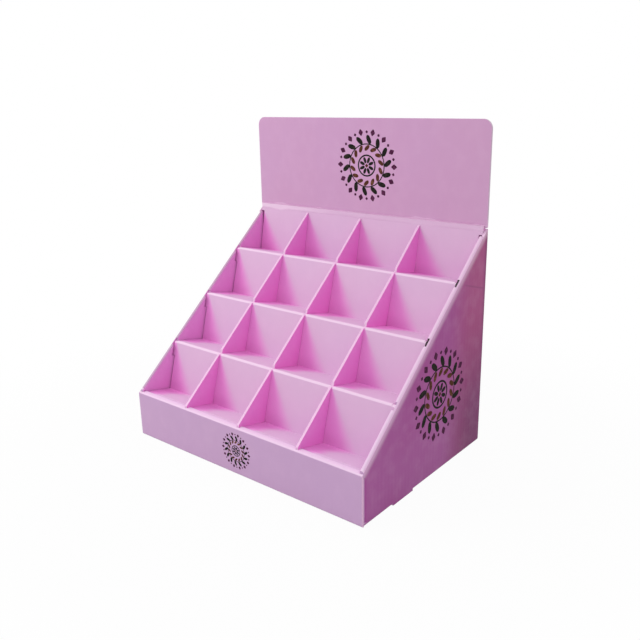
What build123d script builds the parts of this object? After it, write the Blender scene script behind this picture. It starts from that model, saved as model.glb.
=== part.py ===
import os
from math import cos, radians, sin, tan

from build123d import *

# Counter display box of printed corrugated board.
# A tray with double walls and a tall header is folded from one sheet.
# It holds a stepped insert, folded from a second sheet, and three upright dividers,
# which part the four steps into sixteen pockets.
# Millimetres. The front faces -Y, +X is the right-hand side, and the box stands on z = 0.

# Board, and the play between its layers and between pieces
board = 3.0
ply_gap = 0.3
slip = 0.3

# Outer size
width = 360.0
depth = 248.0
front_height = 60.5
side_height = 272.0
header_height = 396.0
header_gap = 1.5
header_radius = 11.0

# Radii of the folds, outside and inside
fold = 3.2
roll_fold = 2.2
side_roll_outside = 4.0
side_roll_inside = 1.6
bottom_fold = 4.5
crease = 0.3

# Walls of the tray
front_inset = 1.2
roll_end_gap = 9.0
front_flap = 60.0
rear_flap = 30.0
flap_base = 10.0
flap_height = 185.0
flap_taper = 12.0
flap_play = 2.0

# Locking tabs and their slots in the floor
lip_tab = 40.0
lip_tab_place = 60.0
side_tab = 38.0
side_tab_place = 75.0
tab_play = 0.5

# Stepped insert
steps = 4
ridge_shift = 1.0
floor_tilt = 12.0
back_lean = 16.0
side_play = 1.7
flange_fold_drop = 3.0
flange_rise = 4.0
end_tab = 17.0
end_tab_drop = 3.0
end_slot_slack = 3.6

# Dividers
columns = 4
joint_depth = 22.0
joint_play = 0.3
lip_slot_play = 0.5

# Faces of the walls, from outside to inside
half_width = width / 2
side_inner = half_width - board
ply_outer = side_inner - ply_gap
ply_inner = ply_outer - board
lip_half = ply_inner - ply_gap
front_half = half_width - front_inset
front_face = -depth / 2
wall_start = front_face + board + ply_gap
lip_inner = wall_start + board + ply_gap
lip_back = lip_inner + board
back_face = depth / 2
back_inner = back_face - board
roll_end = back_face - roll_end_gap
floor_top = board + ply_gap
header_base = side_height + header_gap
front_flap_base = bottom_fold + ply_gap
front_flap_top = front_height - board - ply_gap
flap_edge = back_inner - rear_flap
flap_top = flap_base + flap_height
slant = Axis((0, front_face, front_height), (0, depth, side_height - front_height))
roll_height = board / slant.direction.Y

# Places in the insert and the dividers
insert_half = ply_inner - side_play
leg_front = lip_back + slip
leg_back = leg_front + board
flange_front = back_inner - slip - board
flange_top = side_height + flange_rise
flange_fold = side_height - flange_fold_drop
ear_half = side_inner - slip
joint_base = front_height - joint_depth
step_pitch = depth / steps
end_tab_half = ply_outer - slip
divider_pitch = width / columns
divider_places = [divider_pitch * (number - columns / 2) for number in range(1, columns)]


def slope_height(y):
    """Height of the slanted line on which side walls, ridges and dividers end."""
    return front_height + (y - front_face) * (side_height - front_height) / depth


def is_on_slope(edge):
    """Whether an edge lies in the slanted plane."""
    return abs(edge.center().Z - slope_height(edge.center().Y)) < crease


def edges_at(piece, direction, axis, place):
    """Edges of a piece that run one way and lie at a place along an axis."""
    return piece.edges().filter_by(direction).filter_by_position(axis, place - crease, place + crease)


def across(x):
    """Upright plane at a place left to right, drawn in depth and height."""
    return Plane.YZ.offset(x)


def facing(y):
    """Upright plane at a place front to back, drawn in width and height."""
    return Plane.XZ.offset(-y)


def block(low, high, mode=Mode.ADD):
    """Straight block between two opposite corners."""
    with Locations(low):
        Box(*(end - start for start, end in zip(low, high)), align=Align.MIN, mode=mode)


def far_face(path):
    """Corners of a sheet's other face; the board lies to the left of the path."""
    normals = [(end - start).normalized().rotate(Axis.Z, 90) for start, end in zip(path, path[1:])]
    corners = [path[0] + normals[0] * board]
    for point, before, after in zip(path[1:], normals, normals[1:]):
        corners.append(point + (before + after) * (board / (1 + before.dot(after))))
    corners.append(path[-1] + normals[-1] * board)
    return corners


def folded_sheet(*points, rounding):
    """Section of a folded sheet, rounded on the outside of each fold and creased inside."""
    near = [Vector(*point) for point in points]
    far = far_face(near)
    near_radii = []
    far_radii = []
    for before, corner, after, radius in zip(near, near[1:], near[2:], rounding):
        turns_left = (corner - before).cross(after - corner).Z > 0
        near_radii.append(radius if turns_left else crease)
        far_radii.append(crease if turns_left else radius)
    with BuildSketch() as section:
        with BuildLine():
            FilletPolyline(*near, radius=near_radii)
            FilletPolyline(*far, radius=far_radii)
            Line(near[0], far[0])
            Line(near[-1], far[-1])
        make_face()
    return section.sketch


# The stepped line of the insert: ridges on the slope, valleys behind them
down_floor = Vector(cos(radians(floor_tilt)), -sin(radians(floor_tilt)))
up_back = Vector(sin(radians(back_lean)), cos(radians(back_lean)))
behind_back = Vector(cos(radians(back_lean)), -sin(radians(back_lean)))
ridges = []
valleys = []
for step in range(steps):
    ridge_place = front_face + ridge_shift + step_pitch * step
    ridges.append(Vector(ridge_place, slope_height(ridge_place)))
    climb = slope_height(ridge_place + step_pitch) - slope_height(ridge_place)
    run = step_pitch * up_back.Y - climb * up_back.X
    valleys.append(ridges[step] + down_floor * (run / down_floor.dot(behind_back)))
front_crest = Vector(leg_front, ridges[0].Y - (leg_front - ridges[0].X) * tan(radians(floor_tilt)))
inner_ridges = ridges[1:]
ear_base = slope_height(roll_end) + board / 3


def beside_back(ridge, behind, down):
    """Point near a pocket's back wall, measured behind its face and down from its ridge."""
    return ridge + behind_back * behind - up_back * down


def strip_along_back(ridge, front, rear, top, bottom):
    """Outline of a strip that leans with a pocket's back wall."""
    return [
        beside_back(ridge, front, top),
        beside_back(ridge, front, bottom),
        beside_back(ridge, rear, bottom),
        beside_back(ridge, rear, top),
    ]


def slot_outline(step):
    """Outline of a divider's slot through one floor and up to the joint in its back wall."""
    ridge, valley = ridges[step], valleys[step]
    if step == 0:
        outline = [
            (leg_front - board, front_height),
            (leg_front - board, joint_base),
            (leg_back + board, joint_base),
        ]
    else:
        outline = [beside_back(ridge, board, -board), beside_back(ridge, board, 2 * board)]
    if step == steps - 1:
        outline += [(valley.X, valley.Y - 3 * board), (valley.X, valley.Y + board)]
    else:
        outline.append(beside_back(valley, 2 * board, 2 * board))
        outline.append(beside_back(ridges[step + 1], 2 * board, joint_depth))
        outline.append(beside_back(ridges[step + 1], -board, joint_depth))
    return outline


with BuildPart() as side_wall:
    # Right side wall bent up from the floor and cut along the slanted line
    with BuildSketch(facing(roll_end)) as bent_side:
        add(
            folded_sheet(
                (ply_inner - bottom_fold, 0),
                (half_width, 0),
                (half_width, side_height),
                rounding=[bottom_fold],
            )
        )
    extrude(amount=roll_end - wall_start)
    with BuildSketch(across(side_inner)) as above_slope:
        Polygon(
            (front_face, front_height),
            (back_face, side_height),
            (front_face, side_height),
            align=None,
        )
    extrude(amount=board, mode=Mode.SUBTRACT)

    # Narrow top where the sheet turns over, and the inner layer that hangs from it
    with BuildSketch(across(ply_inner)):
        Polygon(
            (wall_start, slope_height(wall_start)),
            (roll_end, slope_height(roll_end)),
            (roll_end, slope_height(roll_end) - roll_height),
            (wall_start, slope_height(wall_start) - roll_height),
            align=None,
        )
    extrude(amount=half_width - ply_inner)
    with BuildSketch(across(ply_inner)):
        Polygon(
            (lip_inner, floor_top),
            (flap_edge - flap_play, floor_top),
            (flap_edge - flap_play, flap_top + flap_play),
            (roll_end, flap_top + flap_play),
            (roll_end, slope_height(roll_end)),
            (lip_inner, slope_height(lip_inner)),
            align=None,
        )
    extrude(amount=board)
    roll_edges = side_wall.edges().filter_by(slant).filter_by(is_on_slope)
    fillet(roll_edges.sort_by(Axis.X)[0], side_roll_inside)
    roll_edges = side_wall.edges().filter_by(slant).filter_by(is_on_slope)
    fillet(roll_edges.sort_by(Axis.X)[-1], side_roll_outside)

    # Behind the roll the outer layer runs on alone and ends flush with the back
    extrude(bent_side.sketch, amount=-roll_end_gap)
    extrude(above_slope.sketch, amount=board, mode=Mode.SUBTRACT)
    block(
        (0, back_inner - ply_gap, 0),
        (side_inner, back_face, floor_top),
        mode=Mode.SUBTRACT,
    )

    # Front edge of the outer layer turned in as a flap behind the front
    block(
        (side_inner, wall_start, front_flap_base),
        (half_width, wall_start + fold, front_flap_top),
        mode=Mode.SUBTRACT,
    )
    with BuildSketch(Plane.XY.offset(front_flap_base)):
        add(
            folded_sheet(
                (half_width - front_flap, wall_start),
                (half_width, wall_start),
                (half_width, wall_start + 2 * fold),
                rounding=[fold],
            )
        )
    extrude(amount=front_flap_top - front_flap_base)
    chamfer(edges_at(side_wall, Axis.Y, Axis.X, half_width - front_flap), flap_taper)

    # Openings in the inner layer for the end tabs of the insert's ridges
    with BuildSketch(across(ply_inner - board)):
        for ridge in inner_ridges:
            Polygon(
                *strip_along_back(
                    ridge,
                    front=-end_slot_slack,
                    rear=board + slip,
                    top=-board,
                    bottom=end_tab_drop + end_tab + slip,
                ),
                align=None,
            )
    extrude(amount=side_inner - ply_inner + board, mode=Mode.SUBTRACT)

with BuildPart() as tray:
    # Lip, front, floor and back bent from the sheet, as the right half of the box
    with BuildSketch(across(0)):
        add(
            folded_sheet(
                (lip_back, floor_top),
                (lip_back, front_height),
                (front_face, front_height),
                (front_face, 0),
                (back_face, 0),
                (back_face, header_base + header_radius),
                rounding=[roll_fold, roll_fold, fold, fold],
            )
        )
    extrude(amount=front_half)
    block(
        (lip_half, front_face + board, board),
        (front_half, lip_back, front_height),
        mode=Mode.SUBTRACT,
    )
    block((ply_outer, wall_start, 0), (front_half, back_face, header_height), mode=Mode.SUBTRACT)

    # Edge of the back turned forward as a glue flap inside the side wall
    block(
        (ply_outer - fold, back_inner, flap_base),
        (ply_outer, back_face, flap_top),
        mode=Mode.SUBTRACT,
    )
    with BuildSketch(Plane.XY.offset(flap_base)):
        add(
            folded_sheet(
                (ply_outer, flap_edge),
                (ply_outer, back_face),
                (ply_outer - 2 * fold, back_face),
                rounding=[fold],
            )
        )
    extrude(amount=flap_top - flap_base)
    chamfer(edges_at(tray, Axis.X, Axis.Y, flap_edge), flap_taper)

    # Header, wider than the back below it, with rounded corners
    with BuildSketch(facing(back_face)) as header:
        Polygon(
            (0, header_base),
            (half_width, header_base),
            (half_width, header_height),
            (0, header_height),
            align=None,
        )
        fillet(header.vertices().group_by(Axis.Y)[-1].sort_by(Axis.X)[-1], header_radius)
    extrude(amount=board)

    add(side_wall.part)

    # Slot along the bottom fold, with the side's inner tab through it and the outer foot beside it
    side_tab_start = front_face + side_tab_place - side_tab / 2
    side_tab_end = side_tab_start + side_tab
    block(
        (ply_inner - ply_gap, side_tab_start - tab_play, 0),
        (side_inner, side_tab_end + tab_play, floor_top),
        mode=Mode.SUBTRACT,
    )
    block((ply_inner, side_tab_start, ply_gap), (ply_outer, side_tab_end, floor_top + board))
    block(
        (side_inner, side_tab_start - tab_play, 0),
        (half_width, side_tab_end + tab_play, 2 * bottom_fold),
    )

    # Slot and tab of the lip's inner layer
    block(
        (lip_tab_place - lip_tab / 2 - tab_play, lip_inner - ply_gap, 0),
        (lip_tab_place + lip_tab / 2 + tab_play, lip_back + ply_gap, board),
        mode=Mode.SUBTRACT,
    )
    block(
        (lip_tab_place - lip_tab / 2, lip_inner, ply_gap),
        (lip_tab_place + lip_tab / 2, lip_back, floor_top + board),
    )

    mirror(about=Plane.YZ)

    # Notches in the lip for the noses of the dividers
    for place in divider_places:
        block(
            (place - board / 2 - lip_slot_play, front_face + board, joint_base),
            (place + board / 2 + lip_slot_play, lip_back, front_height),
            mode=Mode.SUBTRACT,
        )

with BuildPart() as step_insert:
    # Upright leg, four sloping floors with their leaning backs, and a flange at the back,
    # where the sheet is wider and its ears reach behind the rolled side walls
    path = [(flange_front, flange_top), (flange_front, flange_fold)]
    for ridge, valley in zip(reversed(ridges), reversed(valleys)):
        path.append((valley.X, valley.Y))
        path.append((ridge.X, ridge.Y))
    path[-1] = (front_crest.X, front_crest.Y)
    path.append((leg_front, board))
    with BuildSketch(across(-ear_half)):
        add(folded_sheet(*path, rounding=[fold] * (len(path) - 2)))
    extrude(amount=2 * ear_half)
    for side_start in (-ear_half, insert_half):
        block(
            (side_start, front_face, 0),
            (side_start + ear_half - insert_half, back_face, ear_base),
            mode=Mode.SUBTRACT,
        )

    # End tabs of the ridges, at both sides
    with BuildSketch(across(-end_tab_half)):
        for ridge in inner_ridges:
            Polygon(
                beside_back(ridge, 0, end_tab_drop),
                beside_back(ridge, 0, end_tab_drop + end_tab),
                beside_back(ridge, board, end_tab_drop + end_tab),
                beside_back(ridge, board, crease),
                beside_back(ridge, board / 2, end_tab_drop / 4),
                align=None,
            )
    extrude(amount=2 * end_tab_half)

    # Slots for the dividers, which leave each ridge whole down to the joint depth
    for place in divider_places:
        with BuildSketch(across(place - board / 2 - joint_play)):
            for step in range(steps):
                Polygon(*slot_outline(step), align=None)
        extrude(amount=board + 2 * joint_play, mode=Mode.SUBTRACT)

# Outline of a divider, from its front edge on the floor up over the lip, along the slanted line,
# up to the fold of the flange and down along the last back wall
last_ridge = ridges[-1]
last_valley = valleys[-1]
divider_front = leg_back + slip
nose_front = front_face + board + slip
divider_outline = [
    (divider_front, board),
    (divider_front, joint_base + slip),
    (nose_front, joint_base + slip),
    (nose_front, slope_height(nose_front)),
    (last_ridge.X, last_ridge.Y),
    (flange_front - slip, flange_fold),
    (last_valley.X - slip, last_valley.Y),
    (last_valley.X - slip, board),
]

os.makedirs("parts", exist_ok=True)
for number, place in enumerate(divider_places, start=1):
    with BuildPart() as divider:
        with BuildSketch(across(place - board / 2)):
            Polygon(*divider_outline, align=None)
            for ridge in inner_ridges:
                Polygon(
                    *strip_along_back(
                        ridge,
                        front=-joint_play,
                        rear=board + joint_play,
                        top=-2 * board,
                        bottom=joint_depth + slip,
                    ),
                    align=None,
                    mode=Mode.SUBTRACT,
                )
        extrude(amount=board)
    divider.part.label = f"divider_{number}"
    export_step(divider.part, f"parts/divider_{number}.step")

tray.part.label = "tray"
export_step(tray.part, "parts/tray.step")

step_insert.part.label = "step_insert"
export_step(step_insert.part, "parts/step_insert.step")
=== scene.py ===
# %% [markdown]
# A counter display box of printed corrugated board. Shops get such a box flat and fold it up:
# a tray with rolled double walls and a tall header, a stepped insert and three dividers.
# The imported model already has every folded sheet at its real size, in metres, so this lesson
# only dresses it: first the camera and the light, then the board's print with its painted light
# and shade, and its cut edges, and last the small ornaments on the front, the side and the header.

# %% Load the frame
from math import cos, pi, radians, sin

import bpy
from mathutils import Matrix, Vector


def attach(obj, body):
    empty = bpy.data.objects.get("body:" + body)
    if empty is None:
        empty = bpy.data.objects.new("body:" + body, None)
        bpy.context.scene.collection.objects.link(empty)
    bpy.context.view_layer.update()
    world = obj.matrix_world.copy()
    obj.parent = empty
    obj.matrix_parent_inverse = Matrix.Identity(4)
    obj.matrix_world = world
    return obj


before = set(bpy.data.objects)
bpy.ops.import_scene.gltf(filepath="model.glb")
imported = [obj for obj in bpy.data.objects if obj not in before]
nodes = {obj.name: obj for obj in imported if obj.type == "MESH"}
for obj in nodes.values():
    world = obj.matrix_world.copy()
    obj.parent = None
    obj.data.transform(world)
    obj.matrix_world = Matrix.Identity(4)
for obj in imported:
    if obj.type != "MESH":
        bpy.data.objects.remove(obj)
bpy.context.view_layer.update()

mm = 0.001


# %% [markdown]
# The camera comes first, because everything is judged through it. It could be placed by eye,
# but here its place, its turn and its lens were worked out from the straight edges of the box
# in the photograph, which comes closer. The small shift moves the picture inside the frame
# without turning the camera.

# %% Camera at the photograph's view
camera_turn = radians(39.207)
camera_rise = radians(16.988)
camera_roll = radians(-0.987)
camera_place = Vector((0.559925, -0.644733, 0.425747))
picture_size = 640
focal_pixels = 724.49
sensor = 36.0

toward_camera = Vector((
    sin(camera_turn) * cos(camera_rise),
    -cos(camera_turn) * cos(camera_rise),
    sin(camera_rise),
))
level_right = Vector((cos(camera_turn), sin(camera_turn), 0))
level_up = toward_camera.cross(level_right)
right = level_right * cos(camera_roll) + level_up * sin(camera_roll)
up = level_up * cos(camera_roll) - level_right * sin(camera_roll)

camera_data = bpy.data.cameras.new("photo_camera")
camera_data.sensor_width = sensor
camera_data.lens = focal_pixels * sensor / picture_size
camera_data.shift_x = -0.00805
camera_data.shift_y = -0.00752
camera = bpy.data.objects.new("photo_camera", camera_data)
bpy.context.scene.collection.objects.link(camera)
camera_axes = Matrix((right, up, toward_camera)).transposed().to_4x4()
camera.matrix_world = Matrix.Translation(camera_place) @ camera_axes
bpy.context.scene.camera = camera
print("lens", round(camera_data.lens, 2), "mm")


# %% [markdown]
# The light decides how deep the pockets look. Several lamps could be balanced against each
# other, but one soft square lamp, high at the left front, already lets each divider throw a
# soft-edged shadow on the wall beside it, and one lamp is easy to adjust. The sky, which
# follows below, fills the shadows.

# %% Key lamp
middle_of_box = Vector((0, 0, 0.15))
toward_lamp = Vector((-1.5, -1.0, 1.25))
lamp_distance = 1.7

lamp_data = bpy.data.lights.new("key_lamp", "AREA")
lamp_data.size = 0.95
lamp_data.energy = 9.5
key_lamp = bpy.data.objects.new("key_lamp", lamp_data)
key_lamp.location = middle_of_box + toward_lamp.normalized() * lamp_distance
key_lamp.rotation_euler = toward_lamp.to_track_quat("Z", "Y").to_euler()
bpy.context.scene.collection.objects.link(key_lamp)
print("key lamp at", [round(value, 3) for value in key_lamp.location])


# %% [markdown]
# Materials here are small networks of nodes. They could be wired by hand in the shader
# editor, but written out they can be read from top to bottom and changed in one place.
# The first helper adds a node and feeds its sockets, the second starts an empty material.

# %% Nodes and materials
def add_node(tree, kind, feeds=None, **settings):
    """Node with its settings made and its sockets fed by values or by other sockets."""
    node = tree.nodes.new(kind)
    for setting, value in settings.items():
        setattr(node, setting, value)
    for socket, value in (feeds or {}).items():
        if isinstance(value, bpy.types.NodeSocket):
            tree.links.new(value, node.inputs[socket])
        else:
            node.inputs[socket].default_value = value
    return node


def new_material(name):
    """Empty material, and its tree."""
    material = bpy.data.materials.new(name)
    material.use_nodes = True
    material.node_tree.nodes.clear()
    return material, material.node_tree


print("ready:", add_node.__name__, new_material.__name__)


# %% [markdown]
# Every pattern below is built from a few steps: a sum or a product, a smooth rise between
# two values, a band round one value, a soft random pattern, and a mix of two colours. A
# share is a number from 0 to 1 that says how much of a colour lies at a spot.

# %% Steps of a pattern
def calc(tree, operation, *values):
    """One step of arithmetic."""
    feeds = dict(enumerate(values))
    return add_node(tree, "ShaderNodeMath", feeds, operation=operation).outputs[0]


def times(tree, first, *others):
    """Product of two values or more."""
    for other in others:
        first = calc(tree, "MULTIPLY", first, other)
    return first


def rest_of(tree, share):
    """What a share leaves over from 1."""
    return calc(tree, "SUBTRACT", 1.0, share)


def fade(tree, value, low, high):
    """Number that rises smoothly from 0 to 1 while the value goes from low to high."""
    feeds = {"Value": value, "From Min": low, "From Max": high}
    node = add_node(tree, "ShaderNodeMapRange", feeds, interpolation_type="SMOOTHSTEP")
    return node.outputs["Result"]


def near(tree, value, middle, half, softness):
    """Share that is 1 close to a value and falls to 0 away from it."""
    off = calc(tree, "ABSOLUTE", calc(tree, "SUBTRACT", value, middle))
    return fade(tree, off, half + softness, half)


def noise(tree, spot, scale, detail):
    """Soft random pattern at a spot."""
    feeds = {"Vector": spot, "Scale": scale, "Detail": detail}
    return add_node(tree, "ShaderNodeTexNoise", feeds).outputs[0]


def mix_colours(tree, share, first, second):
    """Second colour laid over the first by a share from 0 to 1."""
    feeds = {0: share, 6: first, 7: second}
    return add_node(tree, "ShaderNodeMix", feeds, data_type="RGBA").outputs[2]


print("ready:", calc.__name__, fade.__name__, near.__name__, noise.__name__, mix_colours.__name__)


# %% [markdown]
# The floor is plain white paper. The box could stand on nothing and be cut out afterwards,
# but then it would have no shadow. A photograph with a cut-out background shows pure white
# all round, so the camera sees the far floor at full white, by emission, while the paper near
# the box keeps enough of its real shading to carry the soft shadow.

# %% Floor
floor_size = 14
shading_fades, shading_ends = 0.30, 0.62
shading_left = 0.04


def seen_directly(tree):
    """Share that is 1 for the camera and for what gloss and glass show it."""
    light_path = add_node(tree, "ShaderNodeLightPath")
    seen = light_path.outputs["Is Camera Ray"]
    for ray in ("Is Glossy Ray", "Is Transmission Ray"):
        seen = calc(tree, "MAXIMUM", seen, light_path.outputs[ray])
    return seen


bpy.ops.object.select_all(action="DESELECT")
bpy.ops.mesh.primitive_plane_add(size=floor_size, location=(0, 0, 0))
floor = bpy.context.active_object
floor.name = "studio_floor"

paper, tree = new_material("studio_paper")
spot = add_node(tree, "ShaderNodeTexCoord").outputs["Object"]
reach = add_node(tree, "ShaderNodeVectorMath", {0: spot}, operation="LENGTH").outputs["Value"]
far_share = fade(tree, reach, shading_fades, shading_ends)
whiteness = calc(tree, "MULTIPLY_ADD", far_share, shading_left, 1 - shading_left)
white_share = times(tree, seen_directly(tree), whiteness)
shaded = add_node(tree, "ShaderNodeBsdfDiffuse", {"Color": (0.7, 0.7, 0.7, 1)}).outputs[0]
white = add_node(tree, "ShaderNodeEmission", {"Color": (1, 1, 1, 1), "Strength": 1.0}).outputs[0]
mixed = add_node(tree, "ShaderNodeMixShader", {0: white_share, 1: shaded, 2: white})
add_node(tree, "ShaderNodeOutputMaterial", {"Surface": mixed.outputs[0]})
floor.data.materials.append(paper)
print("floor of", floor_size, "m, white from", shading_ends, "m outwards")


# %% [markdown]
# The sky stands for the walls and the ceiling of a white studio. A picture of one could light
# the box, but matt board shows no reflections, so plain white is enough. The camera sees it at
# full strength. The board gets less of it from the sides than from above, as under a broad
# soft lamp, so the pockets stay deep.

# %% Sky
side_light = 0.23
extra_from_above = 0.78

sky = bpy.data.worlds.new("studio_sky")
bpy.context.scene.world = sky
sky.use_nodes = True
tree = sky.node_tree
tree.nodes.clear()
outlook = add_node(tree, "ShaderNodeTexCoord").outputs["Generated"]
outlook_z = add_node(tree, "ShaderNodeSeparateXYZ", {0: outlook}).outputs[2]
upward_share = fade(tree, outlook_z, -0.05, 0.75)
sky_light = calc(tree, "MULTIPLY_ADD", upward_share, extra_from_above, side_light)
strength = calc(tree, "MAXIMUM", seen_directly(tree), sky_light)
glow = add_node(tree, "ShaderNodeBackground", {"Color": (1, 1, 1, 1), "Strength": strength})
add_node(tree, "ShaderNodeOutputWorld", {"Surface": glow.outputs[0]})
bpy.context.scene.view_settings.view_transform = "Standard"
print("sky light", side_light, "from the sides,", round(side_light + extra_from_above, 2), "from above")


# %% [markdown]
# Corrugated board is two flat papers with a wavy one between them. The print lies on the
# flat papers, so a cut edge shows the bare, paler section: two thin lines with a wave
# between. The wave could be modelled, but it would need thousands of faces for something
# that is only seen close by. This helper draws the section as colour, from one coordinate
# along the edge and one across the board: 1 on paper and 0 in the hollows.

# %% Section of the board on a cut edge
wave_length = 6.5 * mm
wave_height = 1.0 * mm


def waves(tree, along):
    """Wave of the middle paper, from -1 to 1."""
    return calc(tree, "SINE", times(tree, along, 2 * pi / wave_length))


def board_section(tree, along, across):
    """Share of paper on a cut edge of the board."""
    middle_paper = times(tree, waves(tree, along), wave_height)
    off_wave = calc(tree, "ABSOLUTE", calc(tree, "SUBTRACT", across, middle_paper))
    wavy_paper = rest_of(tree, fade(tree, off_wave, 0.2 * mm, 0.5 * mm))
    flat_paper = fade(tree, calc(tree, "ABSOLUTE", across), 1.0 * mm, 1.25 * mm)
    return calc(tree, "MAXIMUM", wavy_paper, flat_paper)


print("waves", round(wave_length / mm, 1), "mm apart")


# %% [markdown]
# The pattern follows a few lines of the box: the slanted line on which walls, ridges and
# dividers end, the outer side walls, and the rows and columns of pockets. The sheets could be
# unwrapped and painted, but then every line would have to be found again on the flat sheet.
# In the box's own coordinates each is a short sum. Zero is the middle of the base, x runs to
# the right, y to the back and z upwards.

# %% Lines of the box that the print follows
slope_rise = 0.8528
slope_at_middle = 166.25 * mm
slope_along = (0.761, 0.649)
slope_facing = (0, -0.649, 0.761)
wall_face = (178.5 * mm, 179.3 * mm)
roll_start = 173 * mm
flange_top = 276 * mm
row_pitch = 62 * mm
column_pitch = 90 * mm


def below_slope_line(tree, y, z):
    """Depth below the slanted line on which walls, ridges and dividers end."""
    return calc(tree, "SUBTRACT", calc(tree, "MULTIPLY_ADD", y, slope_rise, slope_at_middle), z)


def at_slope_line(tree, y, z):
    """1 above the slanted line and just below it, and 0 deeper down."""
    return calc(tree, "LESS_THAN", below_slope_line(tree, y, z), 5 * mm)


def on_right_wall(tree, x):
    """Share that is 1 on the outer face of the right side wall."""
    return fade(tree, x, *wall_face)


def on_side_walls(tree, x):
    """Share that is 1 on the outer faces of both side walls."""
    return on_right_wall(tree, calc(tree, "ABSOLUTE", x))


def facing_share(tree, facing, direction, low, high):
    """Rises to 1 where the surface faces a direction."""
    total = times(tree, facing[0], direction[0])
    total = calc(tree, "MULTIPLY_ADD", facing[1], direction[1], total)
    total = calc(tree, "MULTIPLY_ADD", facing[2], direction[2], total)
    return fade(tree, total, low, high)


print("slanted line at", round(slope_at_middle / mm, 2), "mm above the middle of the base")


# %% [markdown]
# The box is printed in one pink, yet the photograph shows it in many: warmer on the header,
# bluer on the front, pale in the pockets, strong on the dividers and deep on the outer sides.
# Part of that is light and shadow, which the lamp and the sky give. The rest is painted light
# and shade, put into the colours here as lit and shaded tones of the one pink, one for each kind
# of face and place.

# %% Lit and shaded tones of the print: painted light and shade
header_pink = (0.67, 0.37, 0.60, 1)
front_pink = (0.63, 0.39, 0.63, 1)
pocket_pink = (0.76, 0.48, 0.71, 1)
# Floors that face up get a tone of their own: painted light
lit_floor_pink = (0.71, 0.48, 0.67, 1)
# Shaded copies of the same pink: painted shade on side faces, shadows, corners, the rear and the left
# roll
wall_shade_pink = (0.88, 0.33, 0.75, 1)
divider_shade_pink = (0.95, 0.27, 0.75, 1)
painted_shadow_pink = (0.93, 0.26, 0.75, 1)
corner_shade_pink = (0.50, 0.11, 0.38, 1)
outer_shade_pink = (0.41, 0.050, 0.215, 1)
violet_shade_pink = (0.39, 0.060, 0.30, 1)
rear_shade_pink = (0.19, 0.004, 0.12, 1)
roll_shade_mauve = (0.40, 0.20, 0.32, 1)
print("header", header_pink[:3], "pockets", pocket_pink[:3], "outer sides", outer_shade_pink[:3])


# %% [markdown]
# Print is the lowest layer of every sheet. Each sheet could have one flat colour, but
# varnished board never looks even. The tone follows where a face looks: lit tones where faces
# turn to the lamp and shaded tones on the side faces, which is painted light and shade. Over it
# lie large soft patches and fine specks. All of it is read from the place and the facing of the
# surface, so it stays on the board from every side.

# %% Lit and shaded tones by facing, painted light and shade, and mottling
patch_lilac = (0.62, 0.42, 0.80, 1)
patch_scale, patch_share = 9.0, 0.07
speck_pink = (1.0, 0.72, 0.92, 1)
speck_scale, speck_share = 60.0, 0.05
lit_share = 0.55


def lit_and_shaded_by_facing(tree, place, facing, sideways, tones):
    """Lit and shaded tones, painted light and shade, on faces that look forward, inwards and outwards."""
    front_tone, low_tone, inner_tone, outer_tone = tones
    x, y, z = place

    # Outer side faces look away from the middle of the box, inner ones towards it
    outward = fade(tree, times(tree, facing[0], calc(tree, "SIGN", x)), -0.2, 0.2)
    outside = times(tree, outward, on_side_walls(tree, x))
    outer_side = mix_colours(tree, fade(tree, y, 30 * mm, 100 * mm), violet_shade_pink, outer_tone)
    # Inner faces that look left, towards the lamp, get the paler pocket tone: painted light
    looks_left = times(tree, fade(tree, facing[0], -0.35, -0.85), lit_share)
    inner_side = mix_colours(tree, looks_left, inner_tone, pocket_pink)
    side_tone = mix_colours(tree, outside, inner_side, outer_side)
    forward_tone = mix_colours(tree, fade(tree, z, 60 * mm, 270 * mm), low_tone, front_tone)
    # Side faces get the shaded tones and forward faces the lit ones: painted light and shade
    return mix_colours(tree, sideways, forward_tone, side_tone)


def mottled(tree, spot, tone):
    """Large soft patches and fine specks in the print."""
    patches = times(tree, fade(tree, noise(tree, spot, patch_scale, 3.0), 0.35, 0.7), patch_share)
    tone = mix_colours(tree, patches, tone, patch_lilac)
    specks = times(tree, fade(tree, noise(tree, spot, speck_scale, 4.0), 0.4, 0.75), speck_share)
    return mix_colours(tree, specks, tone, speck_pink)


print("ready:", lit_and_shaded_by_facing.__name__, mottled.__name__)


# %% [markdown]
# Cut edges show the paper without its print, and the waves inside the board show through the
# print as faint upright lines. The lines could be grooves in the mesh, but they are a few
# hundredths of a millimetre deep, which is what a bump is for: it only tilts the light.

# %% Cut edges and fine relief
bare_pink = (0.96, 0.63, 0.88, 1)
# The hollows between the papers are a little darker: painted shade
hollow_shade_pink = (0.92, 0.57, 0.84, 1)
grey_edge = (0.58, 0.50, 0.58, 1)
grey_share = 0.55
relief_depth = 0.02 * mm
dent_relief, cut_relief = 5.0, 12.0     # how many times as high as the waves


def edge_tone(tree, section, z):
    """Section of the board with painted shade in its hollows, greyer round the header, where hands touch
    it most.
    """
    tone = mix_colours(tree, section, hollow_shade_pink, bare_pink)
    handled = times(tree, fade(tree, z, 277 * mm, 285 * mm), grey_share)
    return mix_colours(tree, handled, tone, grey_edge)


def fine_relief(tree, spot, place, sideways, cut_paper):
    """Waves that show through the print, soft dents, and raised papers on a cut edge."""
    x, y, _ = place
    across_waves = calc(tree, "ADD", times(tree, x, rest_of(tree, sideways)), times(tree, y, sideways))
    dents = noise(tree, spot, 26.0, 2.0)
    height = calc(tree, "MULTIPLY_ADD", dents, dent_relief, waves(tree, across_waves))
    height = calc(tree, "MULTIPLY_ADD", cut_paper, cut_relief, height)
    feeds = {"Height": height, "Strength": 1.0, "Distance": relief_depth}
    return add_node(tree, "ShaderNodeBump", feeds).outputs[0]


print("relief of", round(relief_depth / mm, 2), "mm")


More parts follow.
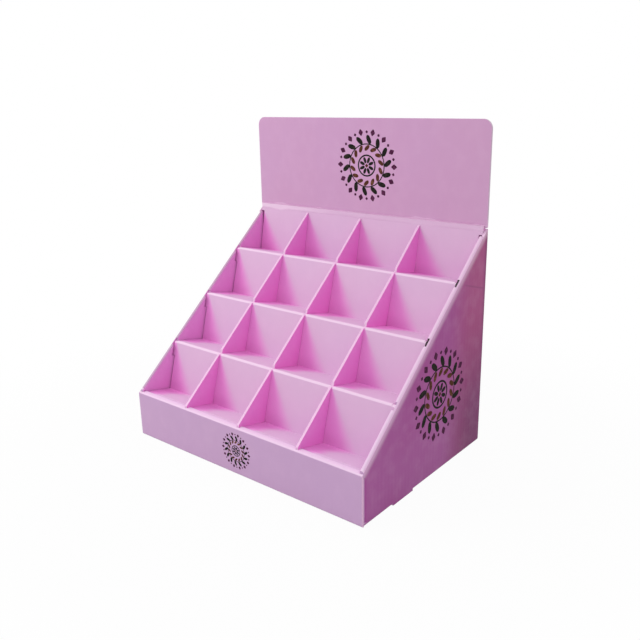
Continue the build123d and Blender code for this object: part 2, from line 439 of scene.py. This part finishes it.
# %% [markdown]
# The end tabs of the ridges sit in openings of the right side wall, and two of these show as
# dark mouths on its rolled top. They could be cut through the roll, but the imported model has
# it closed, so here the shade inside them is painted as a dark tone, laid over everything else.

# %% Painted shade of the slot mouths on the rolled top
slot_shade = (0.03, 0.008, 0.02, 1)
nearest_ridge = 1 * mm
lean_up, lean_back = 0.961, 0.276
mouth_half_width = 3.7 * mm
mouth_middle, mouth_half_height = -9 * mm, 12 * mm
roll_middle, roll_half_width = 175.4 * mm, 1.65 * mm
upper_rows, upper_rows_half = 30 * mm, 60 * mm
crisp = 0.1 * mm


def slot_mouth(tree, place):
    """Painted shade in the mouths of the two upper slots in the right side wall, where end tabs sit."""
    x, y, z = place

    # Place of the spot as seen from the nearest ridge: behind its back wall, and up along it
    from_ridge = calc(tree, "SUBTRACT", y, nearest_ridge)
    from_ridge = calc(tree, "WRAP", from_ridge, row_pitch / 2, -row_pitch / 2)
    ridge_height = calc(tree, "SUBTRACT", y, from_ridge)
    ridge_height = calc(tree, "MULTIPLY_ADD", ridge_height, slope_rise, slope_at_middle)
    above_ridge = calc(tree, "SUBTRACT", z, ridge_height)
    behind = calc(tree, "MULTIPLY_ADD", above_ridge, -lean_back, times(tree, from_ridge, lean_up))
    climb = calc(tree, "MULTIPLY_ADD", above_ridge, lean_up, times(tree, from_ridge, lean_back))
    return times(
        tree,
        near(tree, behind, 0, mouth_half_width, crisp),
        near(tree, climb, mouth_middle, mouth_half_height, crisp),
        near(tree, x, roll_middle, roll_half_width, crisp),
        at_slope_line(tree, y, z),
        near(tree, y, upper_rows, upper_rows_half, crisp),
    )


print("slot mouths", round(2 * mouth_half_width / mm, 1), "mm wide")


# %% [markdown]
# One function builds the material of a sheet from those layers, from the print upwards. Three
# separate materials could be built by hand, but the sheets come from the same board and share
# nearly everything. What differs comes in as three small functions: where shade is painted,
# where the board is worn or painted lighter, and where the board is cut.

# %% Printed board with painted light and shade
# Paler tone for worn folds and for painted highlights
rubbed_and_lit_pink = (0.98, 0.74, 0.93, 1)


def shaded_printed_board(name, tones, paint_shade, rub_and_highlight_share, find_bare):
    """Material of one sheet, with its print, its painted shade, its worn folds with painted highlight and
    its bare cut edges.
    """
    material, tree = new_material(name)
    where = add_node(tree, "ShaderNodeTexCoord")
    spot = where.outputs["Object"]
    place = tuple(add_node(tree, "ShaderNodeSeparateXYZ", {0: spot}).outputs)
    facing = tuple(add_node(tree, "ShaderNodeSeparateXYZ", {0: where.outputs["Normal"]}).outputs)
    sideways = fade(tree, calc(tree, "ABSOLUTE", facing[0]), 0.35, 0.85)

    tone = lit_and_shaded_by_facing(tree, place, facing, sideways, tones)
    tone = paint_shade(tree, place, facing, tone)
    tone = mottled(tree, spot, tone)
    tone = mix_colours(tree, rub_and_highlight_share(tree, place, facing), tone, rubbed_and_lit_pink)
    bare, along, across = find_bare(tree, place, facing)
    section = board_section(tree, along, across)
    tone = mix_colours(tree, bare, tone, edge_tone(tree, section, place[2]))
    tone = mix_colours(tree, slot_mouth(tree, place), tone, slot_shade)

    relief = fine_relief(tree, spot, place, sideways, times(tree, section, bare))
    shader = add_node(tree, "ShaderNodeBsdfPrincipled", {
        "Base Color": tone, "Roughness": 0.5, "IOR": 1.4, "Normal": relief,
    })
    add_node(tree, "ShaderNodeOutputMaterial", {"Surface": shader.outputs[0]})
    return material


print("ready:", shaded_printed_board.__name__)


# %% [markdown]
# Each sheet shows its cut edges in other places. The faces could be picked one by one, but a
# rule holds for every face at once. A divider is flat, so every narrow face is a cut edge. The
# insert is cut at its two ends and along its top. The tray shows its cut edge round the header
# and at the ends of the front.

# %% Where each sheet is bare
insert_edge_middle = 119.2 * mm
tray_edge_middle = 122.5 * mm


def divider_bare(tree, place, facing):
    """Every narrow face of a divider."""
    x, y, z = place
    bare = rest_of(tree, fade(tree, calc(tree, "ABSOLUTE", facing[0]), 0.4, 0.6))
    along = calc(tree, "MULTIPLY_ADD", y, slope_along[0], times(tree, z, slope_along[1]))
    return bare, along, calc(tree, "WRAP", x, column_pitch / 2, -column_pitch / 2)


def insert_bare(tree, place, facing):
    """Both ends of the insert, and the top of its flange."""
    _, y, z = place
    ends = fade(tree, calc(tree, "ABSOLUTE", facing[0]), 0.4, 0.6)
    top = calc(tree, "GREATER_THAN", z, flange_top - 0.1 * mm)
    return calc(tree, "MAXIMUM", ends, top), z, calc(tree, "SUBTRACT", y, insert_edge_middle)


def tray_bare(tree, place, facing):
    """Narrow faces round the header, and the ends of the front."""
    x, y, z = place
    narrow = calc(tree, "LESS_THAN", calc(tree, "ABSOLUTE", facing[1]), 0.6)
    header = times(tree, narrow, calc(tree, "GREATER_THAN", z, 273.3 * mm))
    front = times(tree, narrow, calc(tree, "LESS_THAN", y, -120.9 * mm))
    front = times(tree, front, calc(tree, "GREATER_THAN", calc(tree, "ABSOLUTE", facing[0]), 0.9))
    across = calc(tree, "SUBTRACT", calc(tree, "ABSOLUTE", y), tray_edge_middle)
    return calc(tree, "MAXIMUM", header, front), calc(tree, "ADD", x, z), across


print("ready:", divider_bare.__name__, insert_bare.__name__, tray_bare.__name__)


# %% [markdown]
# Folds wear on their outside. On the insert that is the rounded line of each ridge, which
# faces half forward and half up, so its paler tone is partly wear and partly a painted highlight
# where the fold catches the light from above. Its glued flange also has a pale, torn upper edge,
# broadest at the left, and this too is partly a painted highlight on its lit top. Torn paper could
# be modelled as shreds, but on so narrow a strip an uneven edge of colour is enough. A divider has
# no folds, so nothing on it is worn or painted lighter.

# %% Where the insert is worn or has a painted highlight
ridge_facing = (0, -0.515, 0.857)
torn_depth = 2.6 * mm
pale_band = 269 * mm
pale_band_softness = 3.5 * mm
band_share, extra_at_left = 0.42, 0.95
insert_rub_and_highlight = 0.55


def torn_height(tree, x):
    """Uneven height of the torn paper along the insert's upper edge."""
    along = add_node(tree, "ShaderNodeCombineXYZ", {0: x}).outputs[0]
    return times(tree, fade(tree, noise(tree, along, 17.0, 4.0), 0.46, 0.70), torn_depth)


def insert_rubbed_and_lit(tree, place, facing):
    """Rubbed ridges, and the pale band along the flange: wear and painted highlight."""
    x, y, z = place
    ridge = facing_share(tree, facing, ridge_facing, 0.76, 0.86)
    ridge = times(tree, ridge, at_slope_line(tree, y, z))
    band_start = calc(tree, "SUBTRACT", pale_band, times(tree, torn_height(tree, x), 0.8))
    flange = fade(tree, calc(tree, "SUBTRACT", z, band_start), 0, pale_band_softness)
    to_left = fade(tree, x, -20 * mm, -150 * mm)
    flange = times(tree, flange, calc(tree, "MULTIPLY_ADD", to_left, extra_at_left, band_share))
    return times(tree, calc(tree, "MAXIMUM", ridge, flange), insert_rub_and_highlight)


def never_rubbed_or_lit(tree, place, facing):
    """No wear and no painted highlight at all."""
    return 0.0


print("torn paper up to", round(torn_depth / mm, 1), "mm high")


# %% [markdown]
# On the tray, the lip and the rolled top of the right side wall are paler, far less the left one:
# partly wear from hands and goods, partly a painted highlight where these folds face up into the
# light. A ragged strip of the header just above the insert's flange is paler, carrying on the
# flange's painted highlight, and the outer side walls are paler close below their rolled edge, a
# painted highlight on the rounding of the roll. Each is a share, and the strongest wins.

# %% Where the tray is worn or has a painted highlight
lip_back = -119 * mm
roll_rub_and_highlight, extra_at_lip, less_at_left = 0.55, 0.1, 0.5
strip_highlight_share = 0.36
rim_depth, rim_highlight_share = 12 * mm, 0.48


def tray_rubbed_and_lit(tree, place, facing):
    """Rubbed folds with their painted highlight, the paler ragged strip, and the painted highlight of the
    rim.
    """
    x, y, z = place

    # Lip and rolled tops: wear, and painted highlight where they face up
    looks_up = fade(tree, facing[2], 0.3, 0.6)
    folds = times(tree, looks_up, facing_share(tree, facing, slope_facing, 0.5, 0.8))
    at_lip = calc(tree, "LESS_THAN", y, lip_back)
    left_roll = times(tree, calc(tree, "LESS_THAN", x, -roll_start), rest_of(tree, at_lip))
    fold_strength = calc(tree, "MULTIPLY_ADD", at_lip, extra_at_lip, roll_rub_and_highlight)
    folds = times(tree, folds, calc(tree, "MULTIPLY_ADD", left_roll, -less_at_left, fold_strength))

    # Paler ragged strip on the header just above the insert's flange, carrying on its painted highlight
    ragged = calc(tree, "SUBTRACT", z, torn_height(tree, x))
    ragged = fade(tree, ragged, flange_top + 0.7 * mm, flange_top - 0.1 * mm)
    ragged = times(tree, ragged, fade(tree, facing[1], -0.6, -0.9), strip_highlight_share)
    ragged = times(tree, ragged, calc(tree, "GREATER_THAN", z, flange_top - 0.5 * mm))

    # Painted highlight on the outer side walls, close below their rolled edge, where the roll rounds over
    rim = fade(tree, below_slope_line(tree, y, z), rim_depth, 1 * mm)
    rim = times(tree, rim, fade(tree, z, 275 * mm, 270 * mm), on_side_walls(tree, x), rim_highlight_share)
    return calc(tree, "MAXIMUM", calc(tree, "MAXIMUM", folds, rim), ragged)


print("paler rim", round(rim_depth / mm, 1), "mm deep")


# %% [markdown]
# A pocket's left corner lies in the shadow of its divider or the side wall, the more so the
# further down, so a leaning wedge with a soft edge is painted there in a deeper pink: painted
# shadow. The lamp alone could draw this wedge, but in the photograph it is a stronger pink than a
# shadow on this board becomes, so part of the shadow is painted into the colour.

# %% Painted shadow and shade in the insert's pockets
divider_half = 1.5 * mm
thicker_wall = 4.8 * mm
floor_reach = 27 * mm
wedge_edge, wedge_core = 1.1, 0.42
floor_share, shadow_share = 0.65, 0.8
foot_share, less_on_floor, low_floor_share = 0.28, 0.20, 0.30


def paint_insert_shade(tree, place, facing, tone):
    """Painted shadow wedge beside each divider, and painted shade deepest in the corners of the pockets.
    """
    x, y, z = place
    below_slope = below_slope_line(tree, y, z)
    on_floor = fade(tree, facing[2], 0.5, 0.8)
    # Floors that face up get a tone of their own: painted light
    tone = mix_colours(tree, times(tree, on_floor, floor_share), tone, lit_floor_pink)

    # Distance from the divider at the left; the double side wall reaches further in than one
    beside = calc(tree, "SUBTRACT", calc(tree, "WRAP", x, column_pitch, 0.0), divider_half)
    first_column = calc(tree, "LESS_THAN", x, -column_pitch)
    beside = calc(tree, "MULTIPLY_ADD", first_column, -thicker_wall, beside)

    # The painted shadow widens with the depth of the spot, and has a least width on the floors
    behind_ridge = times(tree, on_floor, fade(tree, below_slope, 5 * mm, 16 * mm))
    least = calc(tree, "MULTIPLY_ADD", behind_ridge, floor_reach, 1 * mm)
    in_shadow = calc(tree, "DIVIDE", beside, calc(tree, "MAXIMUM", below_slope, least))
    in_shadow = fade(tree, in_shadow, wedge_edge, wedge_core)
    in_shadow = times(tree, in_shadow, fade(tree, below_slope, 0, 2 * mm))
    tone = mix_colours(tree, times(tree, in_shadow, shadow_share), tone, painted_shadow_pink)

    # Painted shade, deepest at the foot of each back wall, and on the floors of the two lower rows
    foot = times(tree, in_shadow, fade(tree, below_slope, 34 * mm, 47 * mm))
    foot = times(tree, foot, calc(tree, "MULTIPLY_ADD", on_floor, -less_on_floor, foot_share))
    low_floor = times(tree, in_shadow, on_floor, fade(tree, z, 150 * mm, 100 * mm))
    low_floor = times(tree, low_floor, fade(tree, below_slope, 46 * mm, 36 * mm), low_floor_share)
    return mix_colours(tree, calc(tree, "MAXIMUM", foot, low_floor), tone, corner_shade_pink)


def no_painted_shade(tree, place, facing, tone):
    """Print as it is, with no painted shade."""
    return tone


print("wedge up to", wedge_edge, "times as wide as its spot lies deep")


# %% [markdown]
# The outer side walls are darker low at the back and along the rear corner: painted shade.
# The rolled top of the left side wall is greyer, painted shade on a rounding that turns away from
# the lamp, and a faint dent crosses the right side near the top of its rear corner. The dent could
# be pressed into the mesh, but the imported solids stay as they are, so its shade is painted as a
# thin darker line.

# %% Painted shade on the tray
dent_height, dent_fall, dent_half = 236 * mm, 0.287, 0.3 * mm
dent_middle, dent_reach = 97 * mm, 18 * mm
corner_share, roll_share, dent_share = 0.6, 0.6, 0.4


def paint_tray_shade(tree, place, facing, tone):
    """Painted shade: darker rear of the outer side walls, the left roll and the dent."""
    x, y, z = place
    side_walls = on_side_walls(tree, x)
    rear_low = times(tree, fade(tree, y, 20 * mm, 110 * mm), fade(tree, z, 200 * mm, 30 * mm))
    tone = mix_colours(tree, times(tree, rear_low, side_walls), tone, rear_shade_pink)
    corner = times(tree, fade(tree, y, 116 * mm, 122 * mm), fade(tree, z, 275 * mm, 260 * mm))
    tone = mix_colours(tree, times(tree, corner, side_walls, corner_share), tone, rear_shade_pink)

    # Rolled top of the left side wall, painted shade
    left_roll = times(tree, calc(tree, "LESS_THAN", x, -roll_start), calc(tree, "LESS_THAN", z, 272 * mm))
    left_roll = times(tree, left_roll, fade(tree, facing[2], 0.3, 0.6), roll_share)
    tone = mix_colours(tree, left_roll, tone, roll_shade_mauve)

    # Painted shade of the dent across the right side
    dent = near(tree, calc(tree, "MULTIPLY_ADD", y, dent_fall, z), dent_height, dent_half, 1.3 * mm)
    dent = times(tree, dent, near(tree, y, dent_middle, dent_reach, 9 * mm))
    dent = times(tree, dent, on_right_wall(tree, x), dent_share)
    return mix_colours(tree, dent, tone, rear_shade_pink)


print("dent", round(2 * dent_reach / mm), "mm long at the rear of the right side")


# %% [markdown]
# Now each sheet gets its print, with its painted light and shade. Every divider could have a
# material of its own, but they are alike and share one. The imported solids only get a material:
# shape and place stay the same.

# %% Put the print and the painted light and shade on the sheets
pocket_tones = (pocket_pink, pocket_pink, divider_shade_pink, divider_shade_pink)
tray_tones = (header_pink, front_pink, wall_shade_pink, outer_shade_pink)
tray_print_and_shade = shaded_printed_board("tray_print_and_shade", tray_tones, paint_tray_shade, tray_rubbed_and_lit, tray_bare)
insert_print_and_shade = shaded_printed_board("insert_print_and_shade", pocket_tones, paint_insert_shade, insert_rubbed_and_lit, insert_bare)
divider_print_and_shade = shaded_printed_board("divider_print_and_shade", pocket_tones, no_painted_shade, never_rubbed_or_lit, divider_bare)
prints = {"tray": tray_print_and_shade, "step_insert": insert_print_and_shade}
for name, node in nodes.items():
    node.data.materials.clear()
    node.data.materials.append(prints.get(name, divider_print_and_shade))
    print(name, "has", node.data.materials[0].name)


# %% [markdown]
# A round ornament is printed on the header, on the right side and on the front: a rosette in
# a ring, a wreath of leaves about it, and a circle of lozenges and beads outside. It looks the
# same from all round, as such ornaments do. Its three dark inks could be flat colours, but ink
# on board is a little thinner in small patches, so each is mixed from two tones.

# %% Inks of the ornament
def ink(name, tone, worn_tone):
    """Printing ink that is thinner in small patches."""
    material, tree = new_material(name)
    spot = add_node(tree, "ShaderNodeTexCoord").outputs["Object"]
    thin = fade(tree, noise(tree, spot, 260.0, 2.0), 0.45, 0.75)
    shader = add_node(tree, "ShaderNodeBsdfPrincipled", {
        "Base Color": mix_colours(tree, thin, tone, worn_tone),
        "Roughness": 0.8,
        "Specular IOR Level": 0.12,
    })
    add_node(tree, "ShaderNodeOutputMaterial", {"Surface": shader.outputs[0]})
    return material


green_ink = ink("green_ink", (0.010, 0.011, 0.008, 1), (0.035, 0.028, 0.020, 1))
brown_ink = ink("brown_ink", (0.090, 0.030, 0.016, 1), (0.19, 0.085, 0.045, 1))
plum_ink = ink("plum_ink", (0.075, 0.014, 0.050, 1), (0.14, 0.035, 0.10, 1))
print("inks:", green_ink.name, brown_ink.name, plum_ink.name)


# %% [markdown]
# The ornament could be a picture laid on the board, but shapes stay sharp at any distance and
# need no file. Every motif starts as a thin disc of ink at the middle of the drawing. These
# helpers add the disc, pick some of its corners, and finish the motif.

# %% Discs of ink
film = 0.08 * mm


def thin_disc(corners, radius):
    """Thin disc of ink at the middle of the drawing."""
    bpy.ops.object.select_all(action="DESELECT")
    bpy.ops.mesh.primitive_cylinder_add(vertices=corners, radius=radius, depth=film)
    return bpy.context.active_object


def start_picking(kind):
    """Nothing selected, and corners, edges or faces ready to be picked in object mode."""
    bpy.ops.object.mode_set(mode="EDIT")
    bpy.ops.mesh.select_mode(type=kind)
    bpy.ops.mesh.select_all(action="DESELECT")
    bpy.ops.object.mode_set(mode="OBJECT")


def select_corners(piece, wanted):
    """Select the corners whose place is wanted, and stay in edit mode."""
    start_picking("VERT")
    for corner in piece.data.vertices:
        corner.select = wanted(corner.co)
    bpy.ops.object.mode_set(mode="EDIT")


def name_motif(piece, name, material):
    """Leave edit mode, and give the motif its name and ink."""
    bpy.ops.object.mode_set(mode="OBJECT")
    piece.name = name
    piece.data.materials.append(material)
    return piece


print("film of ink", round(film / mm, 2), "mm thick")


# %% [markdown]
# The discs are shaped in edit mode, as by hand: leaves get drawn-out tips, rings get their
# hole, and lozenges lose their sharp corners. The outlines could be typed in as lists of
# points, but a few resizes, an inset and a bevel say better what each shape is.

# %% Motifs of the ornament
def make_leaf(name, length, width, material):
    """Leaf with drawn-out tips, its stalk end at the middle of the drawing."""
    leaf = thin_disc(16, length / 2)
    select_corners(leaf, lambda place: True)
    bpy.ops.transform.resize(value=(1, width / length, 1))
    select_corners(leaf, lambda place: abs(place.x) > 0.43 * length)
    bpy.ops.transform.resize(value=(1, 0.2, 1))
    bpy.ops.mesh.select_all(action="SELECT")
    bpy.ops.transform.translate(value=(length / 2, 0, 0))
    return name_motif(leaf, name, material)


def make_ring(name, outer, inner, material):
    """Flat ring, a disc with a hole through it."""
    ring = thin_disc(40, outer)
    start_picking("FACE")
    for face in ring.data.polygons:
        face.select = abs(face.normal.z) > 0.9
    bpy.ops.object.mode_set(mode="EDIT")
    bpy.ops.mesh.inset(thickness=outer - inner, use_individual=True)
    bpy.ops.mesh.bridge_edge_loops()
    return name_motif(ring, name, material)


def make_lozenge(name, width, height, material):
    """Lozenge with its corners cut off."""
    lozenge = thin_disc(4, 0.5)
    select_corners(lozenge, lambda place: True)
    bpy.ops.transform.resize(value=(width, height, 1))
    bpy.ops.object.mode_set(mode="OBJECT")
    start_picking("EDGE")
    for edge in lozenge.data.edges:
        start, end = (lozenge.data.vertices[corner].co for corner in edge.vertices)
        edge.select = abs(start.z - end.z) > 0.5 * film
    bpy.ops.object.mode_set(mode="EDIT")
    bpy.ops.mesh.bevel(offset=0.12 * height, segments=2)
    return name_motif(lozenge, name, material)


leaf = make_leaf("leaf", 10 * mm, 4.6 * mm, green_ink)
brown_leaf = make_leaf("brown_leaf", 10.5 * mm, 5.0 * mm, brown_ink)
ring = make_ring("ring", 14 * mm, 12.0 * mm, green_ink)
hoop = make_ring("hoop", 27.8 * mm, 26.4 * mm, green_ink)
lozenge = make_lozenge("lozenge", 7.6 * mm, 9.6 * mm, plum_ink)
bead = make_lozenge("bead", 4.4 * mm, 4.4 * mm, plum_ink)
heart = make_lozenge("heart", 5.4 * mm, 5.4 * mm, brown_ink)
motifs = [leaf, brown_leaf, ring, hoop, lozenge, bead, heart]
print("made", len(motifs), "motifs")


# %% [markdown]
# The motifs are laid out once, in a drawing that is 92 mm across. Each could be placed by
# hand, but a copy that is moved out from the middle and turned by one angle makes a wreath
# in one short loop, and every part of it is alike.

# %% Layout of the ornament
layout = []
petals = 8
wreath_parts = 14
wreath_turn = 360 / wreath_parts
outer_circle = 42


def lay(motif, reach=0.0, angle=0.0, lean=0.0, size=1.0):
    """Copy of a motif, so many mm from the middle, at an angle round it, leaning off the radius."""
    copy = motif.copy()
    copy.data = motif.data.copy()
    copy.matrix_world = (
        Matrix.Rotation(radians(angle), 4, "Z")
        @ Matrix.Translation((reach * mm, 0, 0))
        @ Matrix.Rotation(radians(lean), 4, "Z")
        @ Matrix.Diagonal((size, size, 1, 1))
    )
    bpy.context.scene.collection.objects.link(copy)
    layout.append(copy)


lay(heart)
lay(ring)
lay(hoop)
for number in range(petals):
    lay(leaf, reach=2.9, angle=360 / petals * (number + 0.5), size=0.88)
for number in range(wreath_parts):
    angle = wreath_turn * number
    lay(leaf, reach=27.2, angle=angle, lean=38, size=1.35)
    lay(brown_leaf, reach=26.2, angle=angle + 3, lean=142)
    lay(lozenge, reach=outer_circle, angle=angle, lean=90)
    lay(bead, reach=outer_circle, angle=angle + wreath_turn / 2)
print("laid out", len(layout), "motifs")


# %% [markdown]
# The copies could stay apart, but one drawing is easier to place three times, so they are
# joined. Bridging the hole of a ring can leave faces that point inwards, so all faces are
# turned outwards. The motifs that the copies came from are no longer needed.

# %% Join the ornament
bpy.ops.object.select_all(action="DESELECT")
for piece in layout:
    piece.select_set(True)
bpy.context.view_layer.objects.active = layout[0]
bpy.ops.object.join()
ornament = bpy.context.active_object
ornament.name = "ornament"
bpy.ops.object.transform_apply(location=True, rotation=True, scale=True)
bpy.ops.object.mode_set(mode="EDIT")
bpy.ops.mesh.select_all(action="SELECT")
bpy.ops.mesh.normals_make_consistent(inside=False)
bpy.ops.object.mode_set(mode="OBJECT")
for motif in motifs:
    bpy.data.objects.remove(motif)
print("ornament has", len(ornament.data.polygons), "faces")


# %% [markdown]
# The drawing is copied to its three places. Its middle line lies in the face of the board,
# so half of the thin layer of ink stands proud of it. It could lie wholly on top, but ink
# soaks into board, and this way no gap can open under it.

# %% Print the ornament in its three places
to_front = Matrix(((1, 0, 0), (0, 0, -1), (0, 1, 0))).to_4x4()
to_right = Matrix(((0, 0, 1), (1, 0, 0), (0, 1, 0))).to_4x4()
places = {
    "header_ornament": ((8.0, 121.0, 337.0), to_front, 1.0),
    "side_ornament": ((180.0, 24.0, 98.0), to_right, 1.2),
    "front_ornament": ((-2.0, -124.0, 31.0), to_front, 0.5),
}
for name, (centre, turn, size) in places.items():
    piece = ornament.copy()
    piece.data = ornament.data.copy()
    piece.name = name
    bpy.context.scene.collection.objects.link(piece)
    bpy.ops.object.select_all(action="DESELECT")
    piece.select_set(True)
    bpy.context.view_layer.objects.active = piece
    scaled = Matrix.Diagonal((size, size, 1, 1))
    piece.matrix_world = Matrix.Translation(Vector(centre) * mm) @ turn @ scaled
    bpy.ops.object.transform_apply(location=True, rotation=True, scale=True)
    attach(piece, "root")
bpy.data.objects.remove(ornament)
print("printed", sorted(places))
